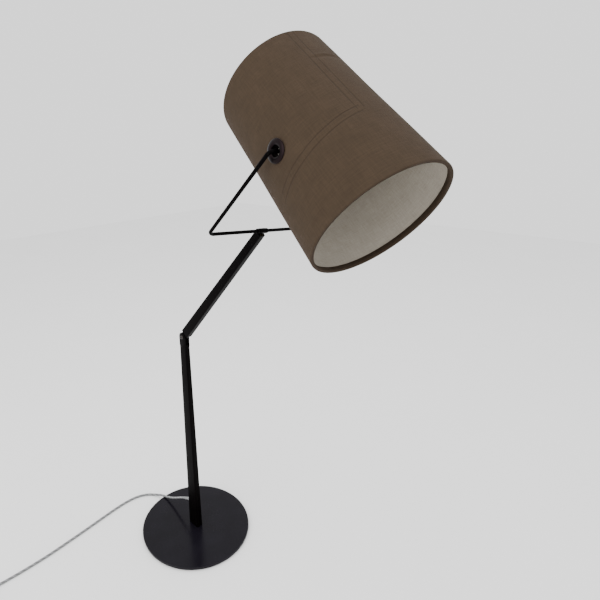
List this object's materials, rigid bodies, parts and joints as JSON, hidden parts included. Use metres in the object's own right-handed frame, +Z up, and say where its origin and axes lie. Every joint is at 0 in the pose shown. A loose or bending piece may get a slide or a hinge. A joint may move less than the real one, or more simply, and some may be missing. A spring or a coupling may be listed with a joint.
{
  "type": "articulated desk lamp",
  "caption": "Tall desk lamp: a round weighted foot, a box-section stem and arm on an elbow, and a fork that carries a large tapered fabric shade on eyelets.",
  "frame": {"origin": "centre of the round foot, on the surface the lamp stands on", "axes": "+Z up along the stem; +X the way the arm leans; Y along the elbow's pin, with the nut on +Y"},
  "size_m": [0.6888, 0.7032, 1.0117],
  "materials": {
    "black_paint": "satin black powder coat",
    "plate_paint": "satin black powder coat, slightly greyer",
    "gunmetal": "dark bronzed metal",
    "steel": "zinc-plated steel",
    "black_steel": "blackened steel",
    "brass": "turned brass",
    "canvas": "taupe cotton canvas",
    "lining": "pale lining",
    "opal_glass": "opal glass",
    "black_plastic": "moulded matte black",
    "nylon": "natural nylon",
    "clear_pvc": "clear cord jacket over silvery conductors",
    "rubber": "matte black rubber"
  },
  "bodies": {
    "base": {"base_pad": "rubber", "base_plate": "plate_paint", "stem_foot_block": "steel", "foot_screw_front": "steel", "foot_screw_rear": "steel", "stem": "black_paint", "stem_knuckle": "black_paint", "stem_lead": "clear_pvc", "cord_gland": "black_plastic", "cord_sleeve": "clear_pvc", "elbow_bolt": "black_steel", "elbow_nut": "black_steel", "elbow_washer_left": "nylon", "elbow_washer_right": "nylon", "cord_lead": "clear_pvc", "cord_to_coil": "clear_pvc", "cord_coil": "clear_pvc", "cord_to_plug": "clear_pvc", "switch_lower_half": "black_plastic", "switch_upper_half": "black_plastic", "plug_body": "black_plastic", "plug_pin_1": "steel", "plug_pin_2": "steel"},
    "arm": {"arm": "black_paint", "arm_knuckle": "black_paint", "arm_lead": "clear_pvc", "arm_tip_bush": "brass"},
    "tee": {"fork_tee": "black_paint", "tee_grub_screw": "black_steel", "swivel_clip": "steel"},
    "fork": {"fork_tube": "black_paint", "rod_collar_left": "black_paint", "rod_collar_right": "black_paint"},
    "shade": {"shade_fabric": "canvas", "shade_lining": "lining", "top_ring": "steel", "opening_ring": "steel", "eyelet_left": "gunmetal", "eyelet_right": "gunmetal", "eyelet_washer_left": "gunmetal", "eyelet_washer_right": "gunmetal", "holder_bridge": "steel", "pivot_bush_left": "nylon", "pivot_bush_right": "nylon", "holder_nipple": "brass", "nipple_nut": "brass", "lampholder_cap": "black_plastic", "lampholder_skirt": "black_plastic", "bulb_cap": "steel", "bulb_globe": "opal_glass"},
    "rocker": {"switch_rocker": "black_plastic"}
  },
  "joints": [
    {"name": "elbow", "type": "hinge", "parent": "base", "child": "arm", "pos_m": [0, 0, 0.489], "axis": [0, 1, 0], "range_deg": [-42, 55]},
    {"name": "head_swivel", "type": "hinge", "parent": "arm", "child": "tee", "pos_m": [0.22526, 0, 0.7383], "axis": [0.6704, 0, 0.742], "range_deg": [-85, 85]},
    {"name": "fork_tilt", "type": "hinge", "parent": "tee", "child": "fork", "pos_m": [0.22526, 0, 0.7383], "axis": [0.0956, 0.9917, -0.0863], "range_deg": [-70, 80]},
    {"name": "shade_tilt", "type": "hinge", "parent": "fork", "child": "shade", "pos_m": [0.34829, -0.00164, 0.85561], "axis": [0.0956, 0.9917, -0.0863], "range_deg": [-40, 40]},
    {"name": "switch_rock", "type": "hinge", "parent": "base", "child": "rocker", "pos_m": [-0.162, -0.453, 0.0132], "axis": [1, 0, 0], "range_deg": [-14, 0], "stiffness_Nm_per_rad": 0.02}
  ]
}
